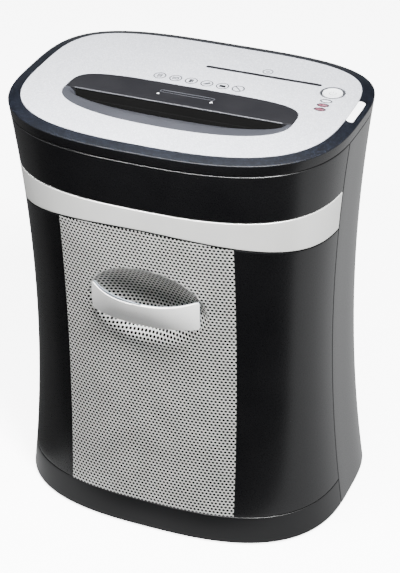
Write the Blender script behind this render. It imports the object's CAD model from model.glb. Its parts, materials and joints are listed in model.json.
# %% [markdown]
# # A paper shredder with a pull-out bin
#
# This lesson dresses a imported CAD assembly. The frame holds every body and joint,
# and each cell here adds one piece or one finish around it, in the same place and
# at the same size.
# The CAD nodes are faceted, so the outer pieces are modelled again from the same
# curves with more points, and the inner ones get a merged copy or a finish only.

# %% Load the frame
import json
import math

import bmesh
import bpy
from mathutils import Matrix, Vector

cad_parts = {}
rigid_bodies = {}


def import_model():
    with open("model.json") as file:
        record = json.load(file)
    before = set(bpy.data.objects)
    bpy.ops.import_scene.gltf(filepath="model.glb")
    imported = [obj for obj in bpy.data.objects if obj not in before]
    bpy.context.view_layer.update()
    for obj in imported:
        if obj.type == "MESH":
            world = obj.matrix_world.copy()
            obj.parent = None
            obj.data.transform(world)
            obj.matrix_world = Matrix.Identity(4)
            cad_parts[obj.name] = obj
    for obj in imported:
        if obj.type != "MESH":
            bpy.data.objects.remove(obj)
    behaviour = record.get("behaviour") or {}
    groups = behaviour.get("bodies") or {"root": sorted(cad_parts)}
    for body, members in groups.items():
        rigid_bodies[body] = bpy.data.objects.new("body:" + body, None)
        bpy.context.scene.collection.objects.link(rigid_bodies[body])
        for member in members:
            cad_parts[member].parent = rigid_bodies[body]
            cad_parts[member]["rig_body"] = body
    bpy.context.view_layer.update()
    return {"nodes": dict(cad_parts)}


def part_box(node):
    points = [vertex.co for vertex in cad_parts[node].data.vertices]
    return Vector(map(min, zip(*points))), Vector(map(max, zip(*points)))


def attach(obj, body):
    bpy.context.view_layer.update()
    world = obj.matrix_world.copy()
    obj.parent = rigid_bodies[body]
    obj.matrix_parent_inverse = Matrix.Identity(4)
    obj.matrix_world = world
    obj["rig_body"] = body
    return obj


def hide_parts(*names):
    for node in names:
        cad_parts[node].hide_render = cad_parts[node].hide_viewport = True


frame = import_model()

# %% [markdown]
# ## Sizes
#
# The frame is in metres, but a maker thinks of a shredder in millimetres. So the
# sizes are kept in millimetres here, and one factor turns a finished point into
# metres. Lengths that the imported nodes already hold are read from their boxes.

# %% Driving sizes in millimetres
MM = 0.001


def node_box(name):
    """Low and high corner of a CAD node, in millimetres."""
    low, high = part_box(name)
    return low / MM, high / MM


BODY_HEIGHT = node_box("top_plate")[1].z
HALF_WIDTH, FRONT_REACH, BACK_REACH = 183.0, 138.5, 126.0
FRONT_SQUARENESS, BACK_SQUARENESS = 2.75, 3.55
WIDE_Y = node_box("top_rim")[1].y - BACK_REACH
MID_Y = WIDE_Y + (BACK_REACH - FRONT_REACH) / 2
WAIST = 15.4
WALL = 2.5
PART_LINE = 1.0
SEAM_Y = WIDE_Y - 22
BAND_TOP = BODY_HEIGHT - 71
RIM_WIDTH, RIM_DROP = 13.6, 2.9
RIM_LOW = BODY_HEIGHT - RIM_DROP - 12
PLATE_LOW = BODY_HEIGHT - 2.4
PLINTH_TOP = 34.0
FOOT_HEIGHT = 2.0
SLOT_Y = MID_Y - 27
BOWL_Z = BODY_HEIGHT - 188
print("widest line at y", round(WIDE_Y, 2), "middle at y", round(MID_Y, 2), "top at z", BODY_HEIGHT)

# %% [markdown]
# ## Camera
#
# The object is looked at from its front right and well above. A long lens at two
# metres keeps the body's upright edges almost parallel. The camera's three axes
# are worked out from its direction and a small roll.

# %% Camera
AIM_X, AIM_Z = 10.36, 237.18
AZIMUTH, ELEVATION, ROLL = 23.28, 32.24, -1.11
CAMERA_DISTANCE, LENS = 2087.33, 121.69


def aim_camera(target, azimuth, elevation, roll, distance, lens):
    """Adds the scene camera; angles in degrees, lengths in millimetres."""
    a, e, r = (math.radians(angle) for angle in (azimuth, elevation, roll))
    back = Vector((math.sin(a) * math.cos(e), -math.cos(a) * math.cos(e), math.sin(e)))
    right = Vector((math.cos(a), math.sin(a), 0))
    up = back.cross(right)
    across = right * math.cos(r) + up * math.sin(r)
    upward = up * math.cos(r) - right * math.sin(r)
    camera = bpy.data.objects.new("camera", bpy.data.cameras.new("camera"))
    camera.data.lens = lens
    camera.data.sensor_width = 36
    camera.data.clip_start, camera.data.clip_end = 0.1, 40
    turn = Matrix((across, upward, back)).transposed().to_4x4()
    camera.matrix_world = Matrix.Translation((Vector(target) + back * distance) * MM) @ turn
    bpy.context.scene.collection.objects.link(camera)
    bpy.context.scene.camera = camera
    return camera


camera = aim_camera((AIM_X, MID_Y, AIM_Z), AZIMUTH, ELEVATION, ROLL, CAMERA_DISTANCE, LENS)
print("camera at", [round(c, 3) for c in camera.location], "lens", round(camera.data.lens, 1), "mm")

# %% [markdown]
# ## Colour and node helpers
#
# Colours are written as the hex values that a paint chart gives, which are sRGB.
# Shaders work in linear light, so one function converts them. A second one adds a
# node together with its settings and links, so a finish reads like a short list.

# %% Colour and node helpers
def linear(hex_colour):
    """Linear RGBA of an sRGB hex colour such as '#c8cacc'."""
    levels = [int(hex_colour[i:i + 2], 16) / 255 for i in (1, 3, 5)]
    return [v / 12.92 if v <= 0.04045 else ((v + 0.055) / 1.055) ** 2.4 for v in levels] + [1.0]


def add_node(tree, kind, settings, links=None):
    """Adds a node; names that aren't input sockets are set as its properties."""
    node = tree.nodes.new("ShaderNode" + kind)
    for key, value in settings.items():
        if isinstance(key, str) and key not in node.inputs:
            setattr(node, key, value)
        else:
            node.inputs[key].default_value = value
    for key, source in (links or {}).items():
        tree.links.new(source, node.inputs[key])
    return node


def per_mm(size_mm):
    """Texture scale whose features are about size_mm apart on Object coordinates."""
    return 1 / (size_mm * MM)


print("mid grey is", round(linear("#808080")[0], 3), "in linear light, not 0.5")

# %% [markdown]
# ## A family of grained finishes
#
# Moulded plastic, lacquer and rolled metal all share two things that the eye
# reads: a slow drift of colour and gloss over several centimetres, and a fine
# grain that breaks up the highlights. One function makes that pair around the
# Principled shader, and every finish below gives it real sizes.

# %% Grained finish
def grained(name, colour, drift, roughness, gloss_spread, grain_mm, grain_depth_mm,
            drift_mm=70, metallic=0.0, specular=0.5, stretch=(1, 1, 1)):
    """Material whose colour runs from colour to drift and whose surface has a grain."""
    material = bpy.data.materials.new(name)
    material.use_nodes = True
    tree = material.node_tree
    shader = tree.nodes["Principled BSDF"]
    shader.inputs["Metallic"].default_value = metallic
    if metallic == 0:
        shader.inputs["Specular IOR Level"].default_value = specular
    place = add_node(tree, "TexCoord", {}).outputs["Object"]
    stretched = add_node(tree, "Mapping", {"Scale": stretch}, {"Vector": place}).outputs[0]
    slow = add_node(tree, "TexNoise", {"Scale": per_mm(drift_mm), "Detail": 3.0},
                    {"Vector": place}).outputs[0]
    fine = add_node(tree, "TexNoise", {"Scale": per_mm(grain_mm), "Detail": 2.0},
                    {"Vector": stretched}).outputs[0]
    blend = add_node(tree, "MapRange", {"From Min": 0.35, "From Max": 0.65}, {"Value": slow})
    tint = add_node(tree, "Mix", {"data_type": "RGBA", 6: linear(colour), 7: linear(drift)},
                    {0: blend.outputs[0]})
    gloss = add_node(tree, "MapRange", {"From Min": 0.3, "From Max": 0.7,
                     "To Min": roughness - gloss_spread, "To Max": roughness + gloss_spread},
                     {"Value": fine})
    bump = add_node(tree, "Bump", {"Strength": 1.0, "Distance": grain_depth_mm * MM},
                    {"Height": fine})
    tree.links.new(tint.outputs[2], shader.inputs["Base Color"])
    tree.links.new(gloss.outputs[0], shader.inputs["Roughness"])
    tree.links.new(bump.outputs[0], shader.inputs["Normal"])
    return material


print("a grain 0.7 mm wide has texture scale", round(per_mm(0.7)))

# %% [markdown]
# ## Black plastics
#
# The casings, fascia, bin front and plinth are injection-moulded ABS with a fine
# spark-eroded texture. It is almost black where it faces the room and turns grey
# where it is seen at a glancing angle, because its gloss is soft but real. The
# side casings have the most gloss, and the recesses are matt, so that they read
# as dark gaps. The true grain is about 0.2 mm, and it is drawn at 0.7 to 0.8 mm so
# that it still shows.

# %% Black plastics
black_abs, casing_abs = (
    grained(name, "#050506", "#080809", 0.3, 0.05, 0.7, 0.006, specular=gloss)
    for name, gloss in (("moulded black ABS", 0.48), ("moulded black ABS of the casings", 0.8)))
plinth_abs = grained("moulded black ABS of the plinth", "#060607", "#09090a", 0.35, 0.05, 0.7, 0.008,
                     specular=0.4)
recess_black = grained("matt black ABS in the recesses", "#040404", "#060606", 0.6, 0.06, 0.8, 0.01,
                       specular=0.1)
inner_pp = grained("black polypropylene", "#141517", "#1a1b1d", 0.48, 0.05, 1.2, 0.02)
rubber = grained("moulded rubber", "#0d0d0e", "#131313", 0.8, 0.06, 0.9, 0.03, specular=0.3)
print("black plastics:", black_abs.name, "and its relatives")

# %% [markdown]
# ## Bezel with a metallic speckle
#
# The bezel is ABS whose sloping face has a blue-black lacquer with tiny flakes.
# Real flakes are some 0.1 mm wide. They are drawn at 0.9 mm, so that they show as
# a faint sparkle, and a Voronoi cell noise picks which cells are lighter.

# %% Speckled lacquer
bezel_lacquer = grained("blue-black flake lacquer", "#040508", "#07080c", 0.4, 0.06, 0.8, 0.008,
                        drift_mm=45, specular=0.16)


def add_flakes(material, flake_mm, light, share, strength):
    """Mixes lighter cells, flake_mm wide, into the base colour of a grained finish."""
    tree = material.node_tree
    shader = tree.nodes["Principled BSDF"]
    base = shader.inputs["Base Color"].links[0].from_socket
    place = add_node(tree, "TexCoord", {}).outputs["Object"]
    cells = add_node(tree, "TexVoronoi", {"Scale": per_mm(flake_mm)}, {"Vector": place})
    pick = add_node(tree, "SeparateColor", {}, {0: cells.outputs["Color"]})
    chosen = add_node(tree, "MapRange", {"From Min": 1 - share, "From Max": 1.0,
                      "To Max": strength}, {"Value": pick.outputs[0]})
    mixed = add_node(tree, "Mix", {"data_type": "RGBA", 7: linear(light)},
                     {0: chosen.outputs[0], 6: base})
    tree.links.new(mixed.outputs[2], shader.inputs["Base Color"])


add_flakes(bezel_lacquer, 0.9, "#1d222c", 0.35, 0.5)
print("flakes added to", bezel_lacquer.name)

# %% [markdown]
# ## Silver surfaces
#
# The top plate and the band are plastic with a satin silver lacquer. Its aluminium
# flakes make it partly metallic, and its clear binder scatters enough light to keep
# it pale from every side. The panel is rolled stainless sheet and the grip has a
# satin nickel finish. Both are set half metallic or less: a real metal mirrors a
# bright room, there is only a plain floor here, and the scatter makes up for it.

# %% Silver surfaces
plate_silver = grained("satin silver lacquer", "#a0a2a9", "#9a9ca3", 0.42, 0.05, 0.8, 0.004,
                       drift_mm=90, metallic=0.25)
add_flakes(plate_silver, 0.7, "#f2f4f8", 0.5, 0.4)
band_silver = grained("warm satin silver lacquer", "#e2e2df", "#dadad7", 0.34, 0.05, 0.8, 0.004,
                      drift_mm=80, metallic=0.45)
sheet_steel = grained("rolled stainless sheet", "#cfcfcc", "#c1c1be", 0.36, 0.05, 0.9, 0.003,
                      drift_mm=30, metallic=0.5)
satin_nickel = grained("satin nickel", "#eaeae8", "#e2e2e0", 0.3, 0.03, 0.6, 0.001,
                       drift_mm=60, metallic=0.3)
inner_shell = grained("brushed inner shell", "#8f979e", "#868d94", 0.3, 0.03, 0.6, 0.001,
                      drift_mm=60, metallic=0.5)
ring_grey = grained("grey ring lacquer", "#4a4c50", "#55575b", 0.3, 0.04, 0.6, 0.002, metallic=0.5)
button_silver = grained("polished silver lacquer", "#dfe1e4", "#d8dadd", 0.26, 0.04, 0.6, 0.002,
                        metallic=0.3)
print("silver finishes:", ", ".join(m.name for m in (plate_silver, band_silver, sheet_steel)))

# %% [markdown]
# ## Throat plastics, print and lenses
#
# The insert behind the slot is charcoal ABS, and the lip in front of it has a
# greyer lacquer. The marks are pad-printed ink. The windows are acrylic, one clear
# and two dull red: with their lamps off they look like dull glass.

# %% Throat plastics, print and lenses
charcoal_abs = grained("charcoal ABS", "#101012", "#151517", 0.42, 0.05, 0.6, 0.006, specular=0.08)
lip_lacquer = grained("slate grey lacquer", "#232428", "#292a2e", 0.42, 0.05, 0.6, 0.006,
                      specular=0.16)
bead_lacquer = grained("slate grey bead", "#2c2d31", "#35363a", 0.3, 0.05, 0.6, 0.004)
dark_ink = grained("dark grey ink", "#131417", "#1a1b1e", 0.55, 0.05, 0.5, 0.002, specular=0.15)
white_ink = grained("white ink", "#d9dadc", "#e2e3e4", 0.5, 0.05, 0.5, 0.002)
label_stock = grained("white label stock", "#e3e4e6", "#eceded", 0.42, 0.05, 0.7, 0.003)


def tinted_acrylic(name, colour, drift):
    """Glossy tinted window with light inside it."""
    material = grained(name, colour, drift, 0.12, 0.03, 0.9, 0.003, drift_mm=4)
    shader = material.node_tree.nodes["Principled BSDF"]
    shader.inputs["Coat Weight"].default_value = 0.6
    shader.inputs["Transmission Weight"].default_value = 0.15
    return material


clear_lens = tinted_acrylic("clear acrylic", "#c3c6cb", "#aeb2b8")
red_lens = tinted_acrylic("dull red acrylic", "#5e3440", "#74505a")
print("lens finishes:", clear_lens.name, red_lens.name)

# %% [markdown]
# ## Working parts
#
# Behind the skins are zinc-plated steel plates, hardened cutters with a film of
# oil, bronze bushes, acetal gears, a painted motor and two circuit boards. They
# show only when the bin is out, but each gets its own honest finish.

# %% Working parts
zinc_steel = grained("zinc-plated steel", "#a9adb0", "#969a9c", 0.34, 0.1, 3.0, 0.004,
                     drift_mm=14, metallic=1.0)
cutter_steel = grained("oiled hardened steel", "#6b6c6f", "#55565a", 0.28, 0.1, 1.5, 0.01,
                       drift_mm=18, metallic=1.0)
ground_steel = grained("ground shaft steel", "#a2a5a8", "#94979a", 0.22, 0.06, 0.5, 0.004,
                       metallic=1.0, stretch=(1, 0.1, 0.1))
bronze = grained("sintered bronze", "#9b7a45", "#8a6a3a", 0.45, 0.08, 0.7, 0.01, metallic=1.0)
acetal = grained("cream acetal", "#cfc9b8", "#c5bfad", 0.4, 0.05, 1.2, 0.006)
motor_paint = grained("black motor enamel", "#1d1f21", "#26282a", 0.4, 0.08, 1.5, 0.02)
board_green = grained("solder-masked board", "#1c4a31", "#245a3c", 0.3, 0.08, 2.5, 0.01, drift_mm=8)
switch_red = grained("red thermoplastic", "#8f2f24", "#9c372a", 0.42, 0.05, 0.9, 0.006)
glide_cream = grained("low-friction acetal", "#b9b6aa", "#aeab9f", 0.42, 0.05, 1.0, 0.01)
tray_steel = grained("galvanised sheet", "#8d9296", "#7d8286", 0.38, 0.1, 6.0, 0.004,
                     drift_mm=9, metallic=1.0)
print("working finishes:", len(bpy.data.materials), "materials so far")

# %% [markdown]
# ## Curves of the body
#
# Seen from above the body is a superellipse: an ellipse whose corners are pushed
# out. Its front half is rounder than its back half. The sides also draw in
# towards half height, which gives the waisted look. These functions give a point
# of that skin, moved in by a wall thickness where it is asked for.

# %% Plan and skin
BODY_PLAN = (HALF_WIDTH, FRONT_REACH, BACK_REACH, FRONT_SQUARENESS, BACK_SQUARENESS)
INSERT_PLAN = (124.0, 50.0, 42.0, 2.3, 4.5)
SLOT_PLAN = (113.0, 19.4, 0.01, 2.4, 2.0)


def mix(a, b, share):
    return a + (b - a) * share


def plan_point(plan, angle, inset=0.0):
    """Point of a plan at an angle in degrees, moved in along its outward normal."""
    c, s = math.cos(math.radians(angle)), math.sin(math.radians(angle))
    half = plan[0]
    reach, power = (plan[1], plan[3]) if s < 0 else (plan[2], plan[4])
    radius = (abs(c / half) ** power + abs(s / reach) ** power) ** (-1 / power)
    x, y = radius * c, radius * s
    gx = math.copysign(abs(x / half) ** (power - 1) / half, x)
    gy = math.copysign(abs(y / reach) ** (power - 1) / reach, y)
    size = math.hypot(gx, gy)
    return x - inset * gx / size, y - inset * gy / size


def draw_in(z):
    return 4 * WAIST * (z / BODY_HEIGHT) * (1 - z / BODY_HEIGHT)


def skin_point(angle, z, inset=0.0):
    x, y = plan_point(BODY_PLAN, angle, draw_in(z) + inset)
    return Vector((x, y + WIDE_Y, z))


def angle_where(rising, low, high):
    """Angle at which a rising function passes zero, by halving."""
    for _ in range(26):
        middle = (low + high) / 2
        if rising(middle) < 0:
            low = middle
        else:
            high = middle
    return (low + high) / 2


def seam_angle(y, z, inset=0.0):
    return angle_where(lambda a: skin_point(a, z, inset).y - y, -80, 40)


def front_angle(x, z, inset=0.0):
    return angle_where(lambda a: skin_point(a, z, inset).x - x, -175, -5)


def rear_angle(x, z):
    return angle_where(lambda a: x - skin_point(a, z).x, 5, 175)


print("half width at mid height:", round(skin_point(0, BODY_HEIGHT / 2).x, 1), "mm")

# %% [markdown]
# ## Making a moulded wall
#
# A casing is a thin wall that follows the body. A flat grid is made first, then
# each of its points is moved onto the skin, and solidify gives the wall its
# thickness. Last, a small bevel rounds the rim of the wall: those rounded rims
# are what catch the light along every part line of a moulded product.

# %% Sheet, edge and piece helpers
def bent_sheet(cols, rows, place):
    """Grid whose point in column i and row j lies at place(i, j), in millimetres."""
    bm = bmesh.new()
    bmesh.ops.create_grid(bm, x_segments=cols, y_segments=rows, size=0.5)
    for vert in bm.verts:
        i, j = round((vert.co.x + 0.5) * cols), round((vert.co.y + 0.5) * rows)
        vert.co = Vector(place(i, j)) * MM
    bm.normal_update()
    return bm


def thicken(bm, thickness):
    """Gives a sheet its thickness, inwards from the face that shows."""
    bmesh.ops.solidify(bm, geom=bm.faces[:], thickness=thickness * MM)
    bm.normal_update()


def round_edges(bm, width, steps=2, sharper=40, where=None):
    """Bevels every edge that is sharper than an angle and that where() accepts."""
    bm.normal_update()
    limit = math.radians(sharper)
    edges = [e for e in bm.edges if len(e.link_faces) == 2 and e.calc_face_angle() > limit
             and (where is None or where(e))]
    bmesh.ops.bevel(bm, geom=edges, offset=width * MM, offset_type="OFFSET", segments=steps,
                    profile=0.5, affect="EDGES", material=-1, clamp_overlap=True)


def make_piece(name, bm, body, finish, stands_for=(), crease=35):
    """Turns a bmesh into a smooth-shaded piece that rides on a CAD body."""
    mesh = bpy.data.meshes.new(name)
    bm.to_mesh(mesh)
    bm.free()
    mesh.shade_smooth()
    mesh.set_sharp_from_angle(angle=math.radians(crease))
    mesh.materials.append(finish)
    piece = bpy.data.objects.new(name, mesh)
    bpy.context.scene.collection.objects.link(piece)
    even = piece.modifiers.new("even shading", "WEIGHTED_NORMAL")
    even.keep_sharp = True
    even.weight = 80
    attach(piece, body)
    if stands_for:
        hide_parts(*stands_for)
    print(f"{name}: {len(mesh.polygons)} faces on {body}")
    return piece


# %% [markdown]
# ## Front skins
#
# The plinth, the silver band and the fascia run across the front from one side
# seam to the other. The band's lower edge is a shallow arch, because the bin's
# door below it is taller in the middle.

# %% Front skins
BAND_MIDDLE, BAND_DROP, BAND_HALF = 24.0, 19.5, 168.0


def arch(x):
    """Height of the band's lower edge at x."""
    return BAND_TOP - BAND_MIDDLE - BAND_DROP * (1 - max(0.0, 1 - (x / BAND_HALF) ** 2))


def skin_patch(left, right, low, high, cols, rows):
    """Part of the skin between two seams; left and right give an angle for a height."""
    middle = BODY_HEIGHT / 2

    def place(i, j):
        guess = skin_point(mix(left(middle), right(middle), i / cols), middle)
        z = mix(low(guess.x), high(guess.x), j / rows)
        return skin_point(mix(left(z), right(z), i / cols), z)

    return bent_sheet(cols, rows, place)


FRONT_COLS = 110


def front_skin(name, low, high, rows, finish, edge):
    bm = skin_patch(lambda z: -180 - seam_angle(SEAM_Y, z), lambda z: seam_angle(SEAM_Y, z),
                    low, high, FRONT_COLS, rows)
    thicken(bm, WALL)
    round_edges(bm, edge, 3)
    make_piece(name, bm, "cabinet", finish, [name])


front_skin("front_plinth", lambda x: FOOT_HEIGHT, lambda x: PLINTH_TOP, 8, plinth_abs, 0.8)
front_skin("silver_band", arch, lambda x: BAND_TOP, 8, band_silver, 0.9)
front_skin("front_fascia", lambda x: BAND_TOP + PART_LINE, lambda x: RIM_LOW - PART_LINE, 12,
           black_abs, 0.9)

# %% [markdown]
# ## Side casings
#
# Each side is one tall moulding from the front seam round to the rear cover. The
# two are mirror images, so one function makes both with the angles swapped.

# %% Side casings
REAR_HALF = 125.0
CASING_COLS, CASING_ROWS = 48, 48


def side_casing(name, side):
    def ahead(z):
        return seam_angle(SEAM_Y + PART_LINE, z)

    def behind(z):
        return rear_angle(REAR_HALF, z)

    left, right = ahead, behind
    if side < 0:
        left, right = (lambda z: 180 - behind(z)), (lambda z: 180 - ahead(z))
    bm = skin_patch(left, right, lambda x: FOOT_HEIGHT, lambda x: RIM_LOW - PART_LINE,
                    CASING_COLS, CASING_ROWS)
    thicken(bm, WALL)
    round_edges(bm, 0.7, 3)
    make_piece(name, bm, "cabinet", casing_abs, [name])


side_casing("left_casing", -1)
side_casing("right_casing", 1)

# %% [markdown]
# A dark strip runs round the body behind the lower ends of the seams, so that no
# light from the floor shines through them.

# %% Strip behind the seams
STRIP_COLS, STRIP_LOW, STRIP_HIGH = 120, FOOT_HEIGHT + 0.4, FOOT_HEIGHT + 12


def strip_point(i, j):
    return skin_point(360 * (i + 0.5) / STRIP_COLS, mix(STRIP_LOW, STRIP_HIGH, j / 2), WALL + 0.5)


bm = bent_sheet(STRIP_COLS, 2, strip_point)
bmesh.ops.remove_doubles(bm, verts=bm.verts[:], dist=0.01 * MM)
thicken(bm, 0.8)
make_piece("seam_strip", bm, "cabinet", recess_black)

# %% [markdown]
# ## Rear cover
#
# The cover closes the back. It has two banks of cooling slots and a cut-out for
# the mains inlet. The grid's lines are laid exactly on the edges of those
# openings, so deleting the faces between them leaves clean slots.

# %% Rear cover
def stepped(breaks, pitch):
    """Positions from the first break to the last, through each, about pitch apart."""
    found = [breaks[0]]
    for a, b in zip(breaks, breaks[1:]):
        count = max(1, round(abs(b - a) / pitch))
        found += [mix(a, b, (k + 1) / count) for k in range(count)]
    return found


COVER_HALF = 124.0
VENT_ROWS, VENT_LOW, VENT_PITCH, VENT_HEIGHT = 8, 330.0, 9.0, 3.6
VENT_NEAR, VENT_FAR = 19.0, 91.0
INLET_HALF_X, INLET_HALF_Z = 14.0, 10.5
INLET = node_box("power_inlet")
inlet_x, inlet_z = (INLET[0].x + INLET[1].x) / 2, (INLET[0].z + INLET[1].z) / 2
cover_xs = stepped([COVER_HALF, inlet_x + INLET_HALF_X, VENT_FAR, inlet_x - INLET_HALF_X, VENT_NEAR,
                    -VENT_NEAR, -VENT_FAR, -COVER_HALF], 6)
vent_lows = [VENT_LOW + k * VENT_PITCH for k in range(VENT_ROWS)]
vent_edges = [low + h for low in vent_lows for h in (0, VENT_HEIGHT)]
cover_zs = stepped([FOOT_HEIGHT, inlet_z - INLET_HALF_Z, inlet_z + INLET_HALF_Z] + vent_edges
                   + [RIM_LOW - PART_LINE], 11)


def is_opening(x, z):
    vent = VENT_NEAR < abs(x) < VENT_FAR and any(0 < z - low < VENT_HEIGHT for low in vent_lows)
    return vent or (abs(x - inlet_x) < INLET_HALF_X and abs(z - inlet_z) < INLET_HALF_Z)


bm = bent_sheet(len(cover_xs) - 1, len(cover_zs) - 1, lambda i, j: (cover_xs[i], 0, cover_zs[j]))
gone = [f for f in bm.faces
        if is_opening(f.calc_center_median().x / MM, f.calc_center_median().z / MM)]
bmesh.ops.delete(bm, geom=gone, context="FACES")
for vert in bm.verts:
    x, z = vert.co.x / MM, vert.co.z / MM
    vert.co = skin_point(rear_angle(x, z), z) * MM
thicken(bm, WALL)
round_edges(bm, 0.45, 2)
make_piece("rear_cover", bm, "cabinet", black_abs, ["rear_cover"])

# %% [markdown]
# ## Bezel
#
# The bezel is a ring with one closed section all the way round. Its outer edge is
# rolled over with a radius of 1.6 mm, which draws the thin line of light round the
# top. Inside, a ledge carries the silver plate. Only the sloping face is lacquered:
# the upright side and all that faces down are plain black ABS.

# %% Bezel
def bezel_height(inset):
    return BODY_HEIGHT - RIM_DROP * (1 - inset / RIM_WIDTH)


def quarter_round(height, radius, steps):
    """Points of a rounded outer corner, from the upright side to the top."""
    turns = [math.radians(90 * k / steps) for k in range(steps + 1)]
    return [(radius * (1 - math.cos(t)), height - radius + radius * math.sin(t)) for t in turns]


section = [(0.5, RIM_LOW), (0, RIM_LOW + 0.6)] + quarter_round(bezel_height(0.8), 1.6, 5)
section += [(4.5, bezel_height(4.5)), (9, bezel_height(9)), (RIM_WIDTH - 0.5, BODY_HEIGHT - 0.1)]
section += [(RIM_WIDTH, BODY_HEIGHT - 0.6), (RIM_WIDTH, PLATE_LOW), (RIM_WIDTH + 6, PLATE_LOW)]
section += [(RIM_WIDTH + 6, PLATE_LOW - 2.4), (WALL + 1, PLATE_LOW - 3.4)]
section += [(WALL, PLATE_LOW - 4.9), (WALL, RIM_LOW)]
section.append(section[0])
RING_COLS, UPWARD = 220, 0.35


def ring_point(i, j):
    inset, z = section[j]
    return skin_point(360 * (i + 0.5) / RING_COLS, z, inset)


bm = bent_sheet(RING_COLS, len(section) - 1, ring_point)
bmesh.ops.remove_doubles(bm, verts=bm.verts[:], dist=0.01 * MM)
bmesh.ops.recalc_face_normals(bm, faces=bm.faces[:])
rim = make_piece("top_rim", bm, "cabinet", bezel_lacquer, ["top_rim"], crease=40)
rim.data.materials.append(black_abs)
for face in rim.data.polygons:
    if face.normal.z < UPWARD:
        face.material_index = 1

# %% [markdown]
# ## Flat parts with openings
#
# The top plate is a flat sheet with several openings. Its outlines are closed
# loops of points. Triangle fill closes the area between them and leaves the inner
# loops open, an extrusion gives the thickness, and a bevel softens the upper rim.

# %% Flat parts with openings
def closed_loop(bm, points):
    """Adds a closed loop of edges through points [x, y, z] in millimetres."""
    verts = [bm.verts.new(Vector(p) * MM) for p in points]
    return [bm.edges.new((verts[k - 1], verts[k])) for k in range(len(verts))]


def flat_part(loops, low, high, edge):
    """Plate between two heights, bounded by loops of (x, y); inner loops are holes."""
    bm = bmesh.new()
    edges = [e for loop in loops for e in closed_loop(bm, [(x, y, low) for x, y in loop])]
    bmesh.ops.triangle_fill(bm, use_beauty=True, use_dissolve=False, edges=edges)
    grown = bmesh.ops.extrude_face_region(bm, geom=bm.faces[:])
    raised = [v for v in grown["geom"] if isinstance(v, bmesh.types.BMVert)]
    bmesh.ops.translate(bm, verts=raised, vec=(0, 0, (high - low) * MM))
    bmesh.ops.recalc_face_normals(bm, faces=bm.faces[:])
    if edge:
        round_edges(bm, edge, 2, 60, lambda e: min(v.co.z for v in e.verts) > (high - 0.01) * MM)
    return bm


def oval(x, y, half_x, half_y, count=40):
    turns = [2 * math.pi * (k + 0.5) / count for k in range(count)]
    return [(x + half_x * math.cos(t), y + half_y * math.sin(t)) for t in turns]


def slot_loop(x, y, length, width, steps=6):
    """Outline of a slot with half-round ends along X."""
    ends = []
    for side, start in ((1, -90), (-1, 90)):
        for k in range(steps + 1):
            t = math.radians(start + 180 * k / steps)
            ends.append((x + side * (length - width) / 2 + width / 2 * math.cos(t),
                         y + width / 2 * math.sin(t)))
    return ends


def insert_loop(inset, count=160):
    points = [plan_point(INSERT_PLAN, 360 * (k + 0.5) / count, inset) for k in range(count)]
    return [(x, y + SLOT_Y) for x, y in points]


BUTTON_BOX = node_box("power_button")
button_x, button_y = ((a + b) / 2 for a, b in zip(BUTTON_BOX[0].xy, BUTTON_BOX[1].xy))
WINDOW_START, WINDOW_STEP = 20.0, 9.6
window_ys = [button_y - WINDOW_START - WINDOW_STEP * k for k in range(3)]
DISC_BOX = node_box("disc_chute")
disc_x, disc_y = ((a + b) / 2 for a, b in zip(DISC_BOX[0].xy, DISC_BOX[1].xy))
outer = [plan_point(BODY_PLAN, 360 * (k + 0.5) / 260, RIM_WIDTH + 0.3) for k in range(260)]
plate_loops = [[(x, y + WIDE_Y) for x, y in outer], insert_loop(-0.3),
               slot_loop(disc_x, disc_y, 128.4, 5.2), oval(button_x, button_y, 13.3, 13.3, 60)]
plate_loops += [oval(button_x, y, 6.3, 3.5) for y in window_ys]
bm = flat_part(plate_loops, PLATE_LOW, BODY_HEIGHT, 0.35)
make_piece("top_plate", bm, "cabinet", plate_silver, ["top_plate"])

# %% [markdown]
# The disc slot is lined with a narrow charcoal frame, so that no disc rubs on the
# plate's edge. It lies just inside the plate's opening and stands a tenth of a
# millimetre proud.

# %% Liner of the disc slot
bm = flat_part([slot_loop(disc_x, disc_y, 127.8, 4.6), slot_loop(disc_x, disc_y, 125.4, 2.4)],
               PLATE_LOW, BODY_HEIGHT + 0.1, 0.3)
make_piece("disc_slot_liner", bm, "cabinet", charcoal_abs)

# %% [markdown]
# ## Throat insert
#
# The insert drops in behind the slot. Its straight front edge is the slot's back
# edge, and a narrow grey bead runs along it, which makes the slot look crisp. A
# grey frame does the same for the card slot. Matt walls hang below both slots, so
# they read as black gaps.

# %% Throat insert
card_x, card_y = 2.0, SLOT_Y + 23.5
back_half = [p for p in insert_loop(0.0) if p[1] > SLOT_Y + 0.6]
front_half = INSERT_PLAN[0]
step_x, step_y = 113.6, SLOT_Y + 1.2
insert_edge = [(front_half, SLOT_Y + 0.05), *back_half, (-front_half, SLOT_Y + 0.05),
               (-step_x, SLOT_Y + 0.05), (-step_x, step_y), (step_x, step_y),
               (step_x, SLOT_Y + 0.05)]
card_hole = slot_loop(card_x, card_y, 58, 3, 4)
bm = flat_part([insert_edge, card_hole], BODY_HEIGHT - 6, BODY_HEIGHT, 0.5)
make_piece("throat_insert", bm, "cabinet", charcoal_abs, ["throat_insert"])


def add_box(bm, low, high):
    """Adds a box between two corners in millimetres."""
    low, high = Vector(low), Vector(high)
    size = Matrix.Diagonal(((high - low) * MM).to_4d())
    size[3][3] = 1
    bmesh.ops.create_cube(bm, size=1, matrix=Matrix.Translation((low + high) / 2 * MM) @ size)


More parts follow.
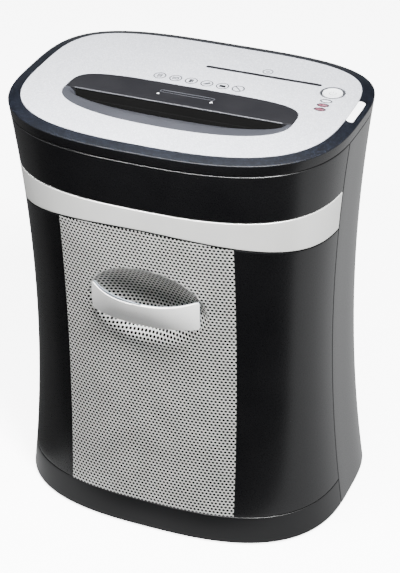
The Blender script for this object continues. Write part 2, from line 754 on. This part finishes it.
bm = bmesh.new()
add_box(bm, (-113, SLOT_Y + 0.6, BODY_HEIGHT - 26), (113, SLOT_Y + 2.6, BODY_HEIGHT - 1.5))
for y in (card_y - 3.5, card_y + 1.5):
    add_box(bm, (card_x - 31, y, BODY_HEIGHT - 16), (card_x + 31, y + 2, BODY_HEIGHT - 6.2))
round_edges(bm, 0.4)
make_piece("throat_wall", bm, "cabinet", recess_black)
bm = bmesh.new()
bmesh.ops.create_cone(bm, cap_ends=True, segments=16, radius1=0.65 * MM, radius2=0.65 * MM,
                      depth=2 * 113.5 * MM,
                      matrix=Matrix.Translation(Vector((0, SLOT_Y + 0.65, BODY_HEIGHT - 0.75)) * MM)
                      @ Matrix.Rotation(math.radians(90), 4, "Y"))
make_piece("slot_edge_bead", bm, "cabinet", bead_lacquer)
bm = flat_part([slot_loop(card_x, card_y, 60.4, 5.4), slot_loop(card_x, card_y, 58.2, 3.2)],
               BODY_HEIGHT - 1, BODY_HEIGHT + 0.1, 0.2)
make_piece("card_slot_frame", bm, "cabinet", bead_lacquer)

# %% [markdown]
# ## Lip of the slot
#
# In front of the slot the surface falls towards the blades, so that fingers and
# paper are led in. The lip has two bands with a crease between them: the outer one
# falls gently and the inner one more steeply. A grid between the insert's outline
# and the slot's edge gives both, and a skirt continues down into the throat.

# %% Lip of the slot
lip_steps = [(0.0, 0.35), (0.02, 0.1), (0.05, 0.0), (0.25, 0.35), (0.48, 0.85), (0.52, 1.05),
             (0.75, 3.4), (0.97, 5.9), (1.0, 6.4), (1.0, 10.0)]


def lip_point(i, j):
    share, fall = lip_steps[j]
    outer_x, outer_y = plan_point(INSERT_PLAN, 180 + 180 * i / 96)
    inner_x, inner_y = plan_point(SLOT_PLAN, 180 + 180 * i / 96)
    y = min(mix(outer_y, inner_y, share), -0.15)
    return mix(outer_x, inner_x, share), y + SLOT_Y, BODY_HEIGHT - fall


bm = bent_sheet(96, len(lip_steps) - 1, lip_point)
bmesh.ops.recalc_face_normals(bm, faces=bm.faces[:])
if sum(f.normal.z for f in bm.faces) < 0:
    bmesh.ops.reverse_faces(bm, faces=bm.faces[:])
thicken(bm, 1.4)
make_piece("throat_lip", bm, "cabinet", lip_lacquer, ["throat_lip"], crease=20)

# %% [markdown]
# ## Bin front
#
# The pull-out front is a wide moulding with a shallow recess for the perforated
# sheet and a finger bowl pressed into it. The bowl has a crisp upper edge, where
# fingers hook in, and fades out softly below. The door's grid has two columns at
# each side of the recess, at the same x but a step apart, which makes the ledge.
# The recess is matt, so that the holes of the sheet before it look dark. The CAD
# has the wings and the recessed back as two nodes, and this one piece is both.

# %% Bin front
PANEL_HALF = 95.5
DOOR_LOW = PLINTH_TOP + PART_LINE
BOWL_W, BOWL_H, BOWL_DEPTH = 134.0, 90.0, 24.0


def bowl(x, z):
    """Depth of the finger bowl at x and z; below its middle it fades out softly."""
    rise = max(0.0, 1 - (2 * x / BOWL_W) ** 2 - (2 * (z - BOWL_Z) / BOWL_H) ** 2)
    below = min(1.0, max(0.0, (BOWL_Z - z) * 2 / BOWL_H))
    return BOWL_DEPTH * rise ** (0.8 + 1.3 * below)


def face_point(x, z, inset=0.0):
    """Point of the bin's face, with the bowl pressed in."""
    y = skin_point(front_angle(x, z, inset), z, inset).y
    return Vector((x, y + bowl(x, z), z))


def face_height(x, share):
    return mix(DOOR_LOW, arch(x) - PART_LINE, share)


SIDE_COLS, MIDDLE_COLS, DOOR_ROWS = 22, 64, 100
RECESS_HALF, RECESS_STEP = PANEL_HALF + 0.3, 1.45


def door_point(i, j):
    share = j / DOOR_ROWS
    if SIDE_COLS < i < SIDE_COLS + MIDDLE_COLS + 2:
        x = mix(-RECESS_HALF, RECESS_HALF, (i - SIDE_COLS - 1) / MIDDLE_COLS)
        return face_point(x, face_height(x, share), RECESS_STEP)
    side = -1 if i <= SIDE_COLS else 1
    along = (SIDE_COLS - i if side < 0 else i - SIDE_COLS - MIDDLE_COLS - 2) / SIDE_COLS
    guess = mix(front_angle(RECESS_HALF, BOWL_Z), seam_angle(SEAM_Y, BOWL_Z), along)
    z = face_height(min(BAND_HALF, skin_point(guess, BOWL_Z).x), share)
    point = skin_point(mix(front_angle(RECESS_HALF, z), seam_angle(SEAM_Y, z), along), z)
    return side * point.x, point.y, point.z


bm = bent_sheet(2 * SIDE_COLS + MIDDLE_COLS + 2, DOOR_ROWS, door_point)
thicken(bm, WALL)
round_edges(bm, 0.6, 2, 50)
door = make_piece("bin_door", bm, "bin", black_abs, ["bin_door", "door_back"])
door.data.materials.append(recess_black)
for face in door.data.polygons:
    if abs(face.center.x) < RECESS_HALF * MM:
        face.material_index = 1

# %% [markdown]
# ## Perforated panel
#
# The panel is stainless sheet with six-sided holes in a staggered pattern, 4.2 mm
# apart and 3 mm across their flats. One cell is a six-sided ring between a hexagon
# and its hole. It is copied by doubling, first along a row and then row by row,
# until the field is larger than the panel. Neighbouring cells share their corners,
# so welding makes one sheet of them. Bisecting trims it to the outline, through the
# holes as a real blank is cut. Only then is each point moved onto the bin's face.

# %% Perforated panel
HOLE_PITCH, HOLE_CORNERS = 4.2, 3.465
row_pitch = HOLE_PITCH * math.sqrt(3) / 2
bm = bmesh.new()
for radius in (HOLE_PITCH / math.sqrt(3), HOLE_CORNERS / 2):
    bmesh.ops.create_circle(bm, segments=6, radius=radius * MM)
bmesh.ops.bridge_loops(bm, edges=bm.edges[:])
bm.normal_update()
bmesh.ops.reverse_faces(bm, faces=[f for f in bm.faces if f.normal.z < 0])


def copy_all(bm, across, up):
    """Copies everything in bm by a step in millimetres."""
    made = bmesh.ops.duplicate(bm, geom=bm.verts[:] + bm.edges[:] + bm.faces[:])
    verts = [v for v in made["geom"] if isinstance(v, bmesh.types.BMVert)]
    bmesh.ops.translate(bm, verts=verts, vec=(across * MM, up * MM, 0))


def trim(bm, point, normal):
    """Cuts away what lies beyond a plane, on the side that normal points to."""
    bmesh.ops.bisect_plane(bm, geom=bm.verts[:] + bm.edges[:] + bm.faces[:], dist=1e-6,
                           plane_co=Vector(point) * MM, plane_no=normal, clear_outer=True)


for k in range(6):
    copy_all(bm, HOLE_PITCH * 2 ** k, 0)
trim(bm, (2 * PANEL_HALF + 1.2 * HOLE_PITCH, 0, 0), (1, 0, 0))
copy_all(bm, HOLE_PITCH / 2, row_pitch)
for k in range(1, 7):
    copy_all(bm, 0, row_pitch * 2 ** k)
bmesh.ops.remove_doubles(bm, verts=bm.verts[:], dist=0.02 * MM)
bmesh.ops.translate(bm, verts=bm.verts[:],
                    vec=((-PANEL_HALF - 0.6 * HOLE_PITCH) * MM, (DOOR_LOW - row_pitch) * MM, 0))
for point, normal in (((PANEL_HALF, 0, 0), (1, 0, 0)), ((-PANEL_HALF, 0, 0), (-1, 0, 0)),
                      ((0, DOOR_LOW, 0), (0, -1, 0))):
    trim(bm, point, normal)
print("flat field:", len(bm.faces), "faces,", sum(e.is_boundary for e in bm.edges), "open edges")

# %% [markdown]
# The upper edge follows the band's arch. An arch can't be cut with one plane, so
# the field is first scored at eight upright lines. Each strip between two lines is
# then cut along its own straight chord, and what lies above is deleted.

# %% Trim the panel to the arch and press it
STRIPS = 8
scores = [mix(-PANEL_HALF, PANEL_HALF, k / STRIPS) for k in range(STRIPS + 1)]


def panel_top(x):
    """Height of the chord that trims the panel at x."""
    k = min(STRIPS - 1, int((x + PANEL_HALF) / (2 * PANEL_HALF) * STRIPS))
    a, b = scores[k], scores[k + 1]
    return mix(arch(a), arch(b), (x - a) / (b - a)) - PART_LINE


for x in scores[1:-1]:
    bmesh.ops.bisect_plane(bm, geom=bm.verts[:] + bm.edges[:] + bm.faces[:], dist=1e-6,
                           plane_co=(x * MM, 0, 0), plane_no=(1, 0, 0))
for a, b in zip(scores, scores[1:]):
    faces = [f for f in bm.faces if a < f.calc_center_median().x / MM < b]
    edges = {e for f in faces for e in f.edges}
    verts = {v for f in faces for v in f.verts}
    rise = arch(b) - arch(a)
    bmesh.ops.bisect_plane(bm, geom=faces + list(edges) + list(verts), dist=1e-6,
                           plane_co=Vector((a, arch(a) - PART_LINE, 0)) * MM,
                           plane_no=(-rise, b - a, 0))
gone = [f for f in bm.faces
        if f.calc_center_median().y / MM > panel_top(f.calc_center_median().x / MM)]
bmesh.ops.delete(bm, geom=gone, context="FACES")
for vert in bm.verts:
    vert.co = face_point(vert.co.x / MM, vert.co.y / MM) * MM
thicken(bm, 0.5)
make_piece("mesh_panel", bm, "bin", sheet_steel, ["mesh_panel"], crease=50)

# %% [markdown]
# ## Grip
#
# The grip is a bowed bar across the bowl. It is a sandwich of a front shell, a core
# and an inner shell. Towards the left the core's upper edge sinks, the inner
# shell's rises, and the core is matt black, which leaves a dark gap along the upper
# edge. On the right the three lie level. The corners are rounded by drawing the
# upper and lower edge together over the last three millimetres.

# %% Grip
GRIP_HALF, GRIP_HEIGHT, GRIP_THICK = 60.0, 32.6, 4.0
BOW_TOP, BOW_LOW, SAG = 21.6, 13.2, 4.0
CORNER, CROWN, BLACK_END = 3.0, 1.1, 4.0
GRIP_Z = BOWL_Z + 2.8
GRIP_ROOT = node_box("bin_handle")[0].y + GRIP_THICK + BOW_TOP


def grip_point(u, t, depth, set_back, lift):
    """Point of the grip; u runs from -1 to 1, t from 0 at the bottom to 1 at the top."""
    x = (GRIP_HALF - set_back) * u
    bow = 1 - abs(x / GRIP_HALF) ** 2.5
    corner = max(0.0, abs(x) + set_back - GRIP_HALF + CORNER)
    lost = CORNER - math.sqrt(max(0.0, CORNER ** 2 - corner * corner)) + set_back
    rise = mix(-GRIP_HEIGHT / 2 + lost, GRIP_HEIGHT / 2 - lost, t)
    share = rise / GRIP_HEIGHT + 0.5
    flatter = CROWN * (2 * share - 1) ** 2
    y = GRIP_ROOT - GRIP_THICK - mix(BOW_LOW, BOW_TOP, share) * bow + flatter + depth
    return x, y, GRIP_Z + rise + share * bow * (lift * max(0.0, -u) ** 0.5 - SAG)


def grip_layer(name, depth, thick, set_back, edge, finish, stands_for=(), lift=0.0):
    us = [math.sin(math.radians(mix(-90, 90, k / 48))) for k in range(49)]
    bm = bent_sheet(48, 10, lambda i, j: grip_point(us[i], j / 10, depth, set_back, lift))
    thicken(bm, thick)
    if edge:
        round_edges(bm, edge, 3, 50)
    return make_piece(name, bm, "bin", finish, stands_for, crease=45)


grip_layer("grip_front", 0.0, 1.2, 0.0, 0.4, satin_nickel, ["bin_handle"])
core = grip_layer("grip_core", 1.1, 1.6, 0.1, 0, satin_nickel, lift=-5.0)
core.data.materials.append(recess_black)
for face in core.data.polygons:
    if face.center.x < BLACK_END * MM:
        face.material_index = 1
grip_layer("grip_back", 2.6, 1.4, 0.1, 0.5, inner_shell, lift=2.6)

# %% [markdown]
# ## Controls
#
# The push button sits in a ring with a groove between them. From above and in
# front, the groove shows its full width at the sides and closes up at the front
# and back, so it reads as two dark crescents. Both parts are turned shapes: a half
# section is spun once round the upright axis.

# %% Turned parts
def turned(sections, x, y, steps=56):
    """Spins closed half sections [(radius, height)] about an upright axis at x, y."""
    bm = bmesh.new()
    for points in sections:
        verts = [bm.verts.new(Vector((x + r, y, z)) * MM) for r, z in points]
        edges = [bm.edges.new((a, b)) for a, b in zip(verts, verts[1:])]
        if points[0][0] > 0:
            edges.append(bm.edges.new((verts[-1], verts[0])))
        bmesh.ops.spin(bm, geom=verts + edges, cent=Vector((x, y, 0)) * MM, axis=(0, 0, 1),
                       angle=math.radians(360), steps=steps, use_merge=True)
    bmesh.ops.remove_doubles(bm, verts=bm.verts[:], dist=0.005 * MM)
    bmesh.ops.recalc_face_normals(bm, faces=bm.faces[:])
    return bm


top = BODY_HEIGHT
ring = [(11.45, PLATE_LOW - 5), (15, PLATE_LOW - 5), (15, PLATE_LOW - 0.4), (13, PLATE_LOW - 0.2),
        (13, top - 0.2), (12.8, top + 0.25), (12.4, top + 0.4), (12.0, top + 0.25),
        (11.75, top - 0.3), (11.6, top - 2.5)]
make_piece("button_bezel", turned([ring], button_x, button_y), "cabinet",
           ring_grey, ["button_bezel"])
groove = [(10.8, top - 6.4), (12.2, top - 6.4), (12.2, top - 6.0), (10.8, top - 6.0)]
make_piece("button_groove", turned([groove], button_x, button_y), "cabinet",
           recess_black)
cap = [(0, top - 0.75), (4, top - 0.7), (7, top - 0.5), (9, top - 0.15), (10.0, top + 0.1),
       (10.3, top - 0.1), (10.45, top - 0.6), (10.5, top - 5.4), (3, top - 5.6),
       (3, BUTTON_BOX[0].z + 0.3), (2.6, BUTTON_BOX[0].z), (0, BUTTON_BOX[0].z)]
make_piece("power_button", turned([cap], button_x, button_y), "button",
           button_silver, ["power_button"])

# %% [markdown]
# ## Indicator windows
#
# Three small oval windows stand in front of the button: one clear and two dull
# red. Each has a dark gasket and a slightly domed lens. A circle is filled and
# inset in rings, a formula makes it an oval dome, and its rim is drawn down.

# %% Indicator windows
def oval_dome(y, half_x, half_y, low, high, rise):
    """Domed oval plug centred on the button's x."""
    bm = bmesh.new()
    bmesh.ops.create_circle(bm, cap_ends=True, segments=40, radius=1)
    crown = bm.faces[:]
    for _ in range(4):
        bmesh.ops.inset_region(bm, faces=crown, thickness=0.2, use_even_offset=True)
    rim = [e for e in bm.edges if e.is_boundary]
    grown = bmesh.ops.extrude_edge_only(bm, edges=rim)
    foot = [v for v in grown["geom"] if isinstance(v, bmesh.types.BMVert)]
    for vert in bm.verts:
        height = high + rise * (1 - vert.co.xy.length_squared)
        vert.co = Vector((button_x + half_x * vert.co.x, y + half_y * vert.co.y, height)) * MM
    for vert in foot:
        vert.co.z = low * MM
    bmesh.ops.contextual_create(bm, geom=[e for e in bm.edges if e.is_boundary])
    bmesh.ops.recalc_face_normals(bm, faces=bm.faces[:])
    return bm


for k, y in enumerate(window_ys):
    lens = oval_dome(y, 4.9, 2.3, PLATE_LOW - 2, top - 0.1, 0.55)
    make_piece(f"indicator_window_{k + 1}", lens, "cabinet",
               red_lens if k else clear_lens, ["indicator_windows"])
    bm = flat_part([oval(button_x, y, 6.6, 4.1), oval(button_x, y, 4.95, 2.35)],
                   PLATE_LOW, top + 0.05, 0.2)
    make_piece(f"indicator_gasket_{k + 1}", bm, "cabinet", dark_ink)

# %% [markdown]
# ## Printed marks
#
# Six round marks behind the throat say what may and may not be fed, one marks the
# disc slot, and two small arrows flank the card slot. They are pad-printed, so
# they are modelled as strokes 0.06 mm high. The pictures inside are plain and
# generic: a sheet, an envelope, a clip, a staple, a card and a no-entry stroke.

# %% Printed marks
MARK_LOW, MARK_HIGH = BODY_HEIGHT + 0.01, BODY_HEIGHT + 0.07


def stroke(bm, a, b, width):
    """Straight printed stroke from a to b."""
    a, b = Vector(a), Vector(b)
    along = b - a
    size = Matrix.Diagonal(((along.length + width * 0.6) * MM, width * MM,
                            (MARK_HIGH - MARK_LOW) * MM, 1))
    middle = Vector((*((a + b) / 2), (MARK_LOW + MARK_HIGH) / 2)) * MM
    turn = Matrix.Rotation(math.atan2(along.y, along.x), 4, "Z")
    bmesh.ops.create_cube(bm, size=1, matrix=Matrix.Translation(middle) @ turn @ size)


def loop_stroke(bm, x, y, half_x, half_y, width, count=30):
    points = oval(x, y, half_x, half_y, count)
    for k in range(count):
        stroke(bm, points[k - 1], points[k], width)


def picture(bm, x, y, lines, width):
    for a, b in lines:
        stroke(bm, (x + a[0], y + a[1]), (x + b[0], y + b[1]), width)


sheet = [((-2, -3), (2, -3)), ((2, -3), (2, 2)), ((2, 2), (0.8, 3)), ((0.8, 3), (-2, 3)),
         ((-2, 3), (-2, -3)), ((-1, 1), (1, 1)), ((-1, -0.5), (1, -0.5))]
envelope = [((-3, -2), (3, -2)), ((3, -2), (3, 2)), ((3, 2), (-3, 2)), ((-3, 2), (-3, -2)),
            ((-3, 2), (0, -0.3)), ((0, -0.3), (3, 2))]
clip = [((-1.6, -3), (-1.6, 2.6)), ((-1.6, 2.6), (1.6, 2.6)), ((1.6, 2.6), (1.6, -2)),
        ((0, -3), (0, 1.2)), ((-1.6, -3), (0, -3))]
staple = [((-2.8, -2), (2.2, 2.4)), ((-1, -2.4), (2.8, 0.4)), ((1.2, 2.6), (3, 1))]
card = [((-3.2, k * 0.55), (3.2, k * 0.55)) for k in range(-4, 4)]
stop = [((-3.6, 3.6), (3.6, -3.6))]
bm = bmesh.new()
mark_y, disc_mark_x, disc_mark_y = MID_Y + 28, 59.3, MID_Y + 75.4
for x, lines, width in zip((-42.2, -24.4, -6.9, 10.4, 27.7, 45.0),
                           (sheet, envelope, clip, staple, card, stop),
                           (1.0, 1.0, 1.4, 1.4, 0.9, 1.1)):
    loop_stroke(bm, x, mark_y, 6.2, 6.2, 1.2)
    picture(bm, x, mark_y, lines, width)
loop_stroke(bm, disc_mark_x, disc_mark_y, 5.2, 5.2, 1.0)
loop_stroke(bm, disc_mark_x, disc_mark_y, 1.4, 1.4, 0.7, 14)
make_piece("printed_marks", bm, "cabinet", dark_ink)

bm = bmesh.new()
for x in (-27.4, 30.9):
    for k in range(4):
        wide = 1.3 - 0.36 * k
        stroke(bm, (x - wide, card_y - 7.4 + 0.55 * k), (x + wide, card_y - 7.4 + 0.55 * k), 0.6)
make_piece("slot_arrows", bm, "cabinet", white_ink)

# %% [markdown]
# The button carries the usual stand-by sign in dark grey ink: an open ring and a
# short bar. It rides on the button, so it goes down with it.

# %% Stand-by sign
bm = bmesh.new()
points = oval(button_x, button_y, 3.4, 3.4, 30)
for k in range(1, 30):
    if points[k][1] < button_y + 2.6:
        stroke(bm, points[k - 1], points[k], 0.4)
stroke(bm, (button_x, button_y + 1), (button_x, button_y + 4.2), 0.4)
bmesh.ops.translate(bm, verts=bm.verts[:], vec=(0, 0, -0.74 * MM))
make_piece("standby_sign", bm, "button", dark_ink)

# %% [markdown]
# ## Label on the bezel
#
# A plain white label, left blank, lies along the bezel's right side. It follows
# the curve, with rounded corners, and is 0.5 mm thick.

# %% Label on the bezel
LABEL_INSET, LABEL_HALF = 9.4, 3.8
label_from, label_to = (seam_angle(y, BODY_HEIGHT, 8) for y in (MID_Y + 0.5, MID_Y + 45))


def label_point(i, j):
    along, across = i / 40, 2 * j / 8 - 1
    near_end = max(0.0, abs(2 * along - 1) * 24 - 21.5) / 2.5
    half = LABEL_HALF * (1 - 0.6 * (1 - math.sqrt(max(0.0, 1 - near_end ** 2))))
    inset = LABEL_INSET + half * across
    return skin_point(mix(label_to, label_from, along), bezel_height(inset) + 0.6, inset)


bm = bent_sheet(40, 8, label_point)
if sum(f.normal.z for f in bm.faces) < 0:
    bmesh.ops.reverse_faces(bm, faces=bm.faces[:])
thicken(bm, 0.5)
round_edges(bm, 0.15, 2, 50)
make_piece("label_plate", bm, "cabinet", label_stock, ["label_plate"])

# %% [markdown]
# ## Waste bucket and disc tray
#
# Behind the door hangs an open bucket of black polypropylene. One face with the
# bucket's outline is extruded up and its top is removed. Solidify gives the 2 mm
# wall, and a bevel rounds its edges. The disc tray is a small box made the same
# way from galvanised sheet.

# %% Waste bucket and disc tray
def open_box(outline, low, high, wall, edge):
    """Open-topped vessel with an outline of (x, y) points."""
    bm = bmesh.new()
    closed_loop(bm, [(x, y, low) for x, y in outline])
    base = bmesh.ops.contextual_create(bm, geom=bm.edges[:])["faces"]
    grown = bmesh.ops.extrude_face_region(bm, geom=base)
    lid = [g for g in grown["geom"] if isinstance(g, bmesh.types.BMFace)]
    raised = [g for g in grown["geom"] if isinstance(g, bmesh.types.BMVert)]
    bmesh.ops.translate(bm, verts=raised, vec=(0, 0, (high - low) * MM))
    bmesh.ops.delete(bm, geom=lid, context="FACES_ONLY")
    bmesh.ops.recalc_face_normals(bm, faces=bm.faces[:])
    floor = min(bm.faces, key=lambda f: f.calc_center_median().z)
    if floor.normal.z > 0:
        bmesh.ops.reverse_faces(bm, faces=bm.faces[:])
    thicken(bm, wall)
    round_edges(bm, edge, 2, 50)
    return bm


low, high = node_box("waste_bucket")
points = [plan_point(BODY_PLAN, 360 * (k + 0.5) / 120, WAIST + WALL + 8) for k in range(120)]
inside = [(x, min(max(y + WIDE_Y, low.y), high.y)) for x, y in points]
make_piece("waste_bucket", open_box(inside, low.z, high.z, 2, 0.8), "bin", inner_pp,
           ["waste_bucket"])
low, high = node_box("disc_tray")
corners = [(low.x, low.y), (high.x, low.y), (high.x, high.y), (low.x, high.y)]
make_piece("disc_tray", open_box(corners, low.z, high.z, 1.6, 0.5), "bin", tray_steel,
           ["disc_tray"])

# %% [markdown]
# ## Merged copies of the working parts
#
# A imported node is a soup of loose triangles. For smooth shading its shared corners
# must be welded, so each round or toothed part is copied, welded and shaded by
# angle. The copy stands for the node, and the shape stays as the CAD made it.

# %% Merged copies
def merged_copy(node, finish):
    """Welded, smooth-shaded copy of a CAD node that replaces it."""
    bm = bmesh.new()
    bm.from_mesh(frame["nodes"][node].data)
    bmesh.ops.remove_doubles(bm, verts=bm.verts[:], dist=0.002 * MM)
    make_piece("smooth_" + node, bm, frame["nodes"][node]["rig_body"], finish, [node], crease=32)


for finish, names in (
        (cutter_steel, "cutter_discs_front cutter_discs_rear disc_roller_front disc_roller_rear"),
        (ground_steel, "cutter_shaft_front cutter_shaft_rear motor_rotor gear_studs tie_rods"),
        (acetal, "tie_gear_front tie_gear_rear bull_gear compound_gear transfer_gear"),
        (bronze, "shaft_bushes"),
        (zinc_steel, "side_plate_left side_plate_right roller_plate frame_screws motor_clamp "
                     "rear_screws"),
        (motor_paint, "motor_body comb_front comb_rear"),
        (inner_pp, "motor_fan base_floor disc_chute chassis_plate"),
        (rubber, "rubber_feet"),
        (recess_black, "power_inlet")):
    for node in names.split():
        merged_copy(node, finish)

# %% [markdown]
# ## Finishes for the nodes that stay
#
# The remaining nodes are plain blocks whose CAD shape is right as it is. They keep
# their mesh and only get a finish.

# %% Finishes for the nodes that stay
kept = {"paper_guides": recess_black, "paper_sensor": inner_pp, "control_board": board_green,
        "power_board": board_green, "bin_bracket": inner_pp, "bin_runners": glide_cream,
        "interlock_switch": switch_red, "interlock_tab": inner_pp}
for name, finish in kept.items():
    data = frame["nodes"][name].data
    data.materials.clear()
    data.materials.append(finish)
left = [n for n, o in frame["nodes"].items() if not o.hide_render and n not in kept]
print("nodes with a finish:", len(kept), "nodes still plain:", left)

# %% [markdown]
# ## Floor and light
#
# The floor is pale and plain, and glows a little so that it stays even. It is left
# out of reflections and bounced light, because they would turn the black plastic
# grey. The surround is pale too. A broad lamp hangs above, a smaller and stronger one stands
# at the front right, and a narrow strip before the top plate lights it at a low
# angle. Three cards, which the camera doesn't see and which cast no shadow, are
# there to be mirrored: a black one in front, a grey one on the left and a black
# one that stands behind. As reflections pass through the floor, the first two lie
# just under it. The front one also holds back soft light from below.

# %% Floor and light
FLOOR_REACH, FLOOR_Z, CARD_Z = 40, -0.0005, -0.002
FLOOR_GLOW, SURROUND_GLOW = 6.0, 1.15


def add_plane(name, low, high, z, finish):
    bm = bmesh.new()
    bmesh.ops.create_grid(bm, x_segments=1, y_segments=1, size=0.5)
    for vert in bm.verts:
        vert.co = (mix(low[0], high[0], vert.co.x + 0.5), mix(low[1], high[1], vert.co.y + 0.5), z)
    mesh = bpy.data.meshes.new(name)
    bm.to_mesh(mesh)
    bm.free()
    mesh.materials.append(finish)
    plane = bpy.data.objects.new(name, mesh)
    bpy.context.scene.collection.objects.link(plane)
    return plane


def add_lamp(name, place, target, width, height, watts):
    lamp = bpy.data.objects.new(name, bpy.data.lights.new(name, "AREA"))
    lamp.data.shape = "RECTANGLE"
    lamp.data.size, lamp.data.size_y = width, height
    lamp.data.energy = watts
    lamp.location = place
    lamp.rotation_euler = (Vector(target) - Vector(place)).to_track_quat("-Z", "Y").to_euler()
    bpy.context.scene.collection.objects.link(lamp)


floor_paint = grained("pale studio floor", "#fbfbfb", "#f7f7f7", 0.7, 0.03, 8, 0.01, drift_mm=900)
floor_shader = floor_paint.node_tree.nodes["Principled BSDF"]
floor_shader.inputs["Emission Color"].default_value = linear("#ffffff")
floor_shader.inputs["Emission Strength"].default_value = FLOOR_GLOW
floor = add_plane("studio_floor", (-FLOOR_REACH, -FLOOR_REACH), (FLOOR_REACH, FLOOR_REACH), FLOOR_Z,
                  floor_paint)
floor.visible_glossy = False
floor.visible_diffuse = False
card_paint = grained("black card", "#050505", "#050505", 0.9, 0.02, 4, 0.01, specular=0.0)
grey_paint = grained("grey card", "#6a6a6a", "#6a6a6a", 0.9, 0.02, 4, 0.01, specular=0.0)
front_card = add_plane("front_card", (-1.7, -3.0), (4.0, -0.17), CARD_Z, card_paint)
left_card = add_plane("left_card", (-2.4, -0.17), (-0.2, 1.6), CARD_Z, grey_paint)
back_card = add_plane("back_card", (-3.0, -1.3), (3.0, 1.3), 0, card_paint)
back_card.rotation_euler = (math.radians(90), 0, math.radians(32))
back_card.location = (-0.85, 1.36, 1.85)
for card in (front_card, left_card, back_card):
    card.visible_camera = False
    card.visible_shadow = False
    card.visible_diffuse = card is front_card
add_lamp("top_softbox", (-0.2, 0.4, 2.0), (0, 0, 0.4), 0.9, 0.9, 12)
add_lamp("key_softbox", (0.85, -0.75, 1.85), (0, -0.05, 0.25), 0.45, 0.45, 145)
add_lamp("plate_strip", (0, -0.27, 0.78), (0, -0.13, 0.467), 0.5, 0.06, 15)
world = bpy.data.worlds.new("pale surround")
world.use_nodes = True
world.node_tree.nodes["Background"].inputs[0].default_value = linear("#f6f7f8")
world.node_tree.nodes["Background"].inputs[1].default_value = SURROUND_GLOW
bpy.context.scene.world = world
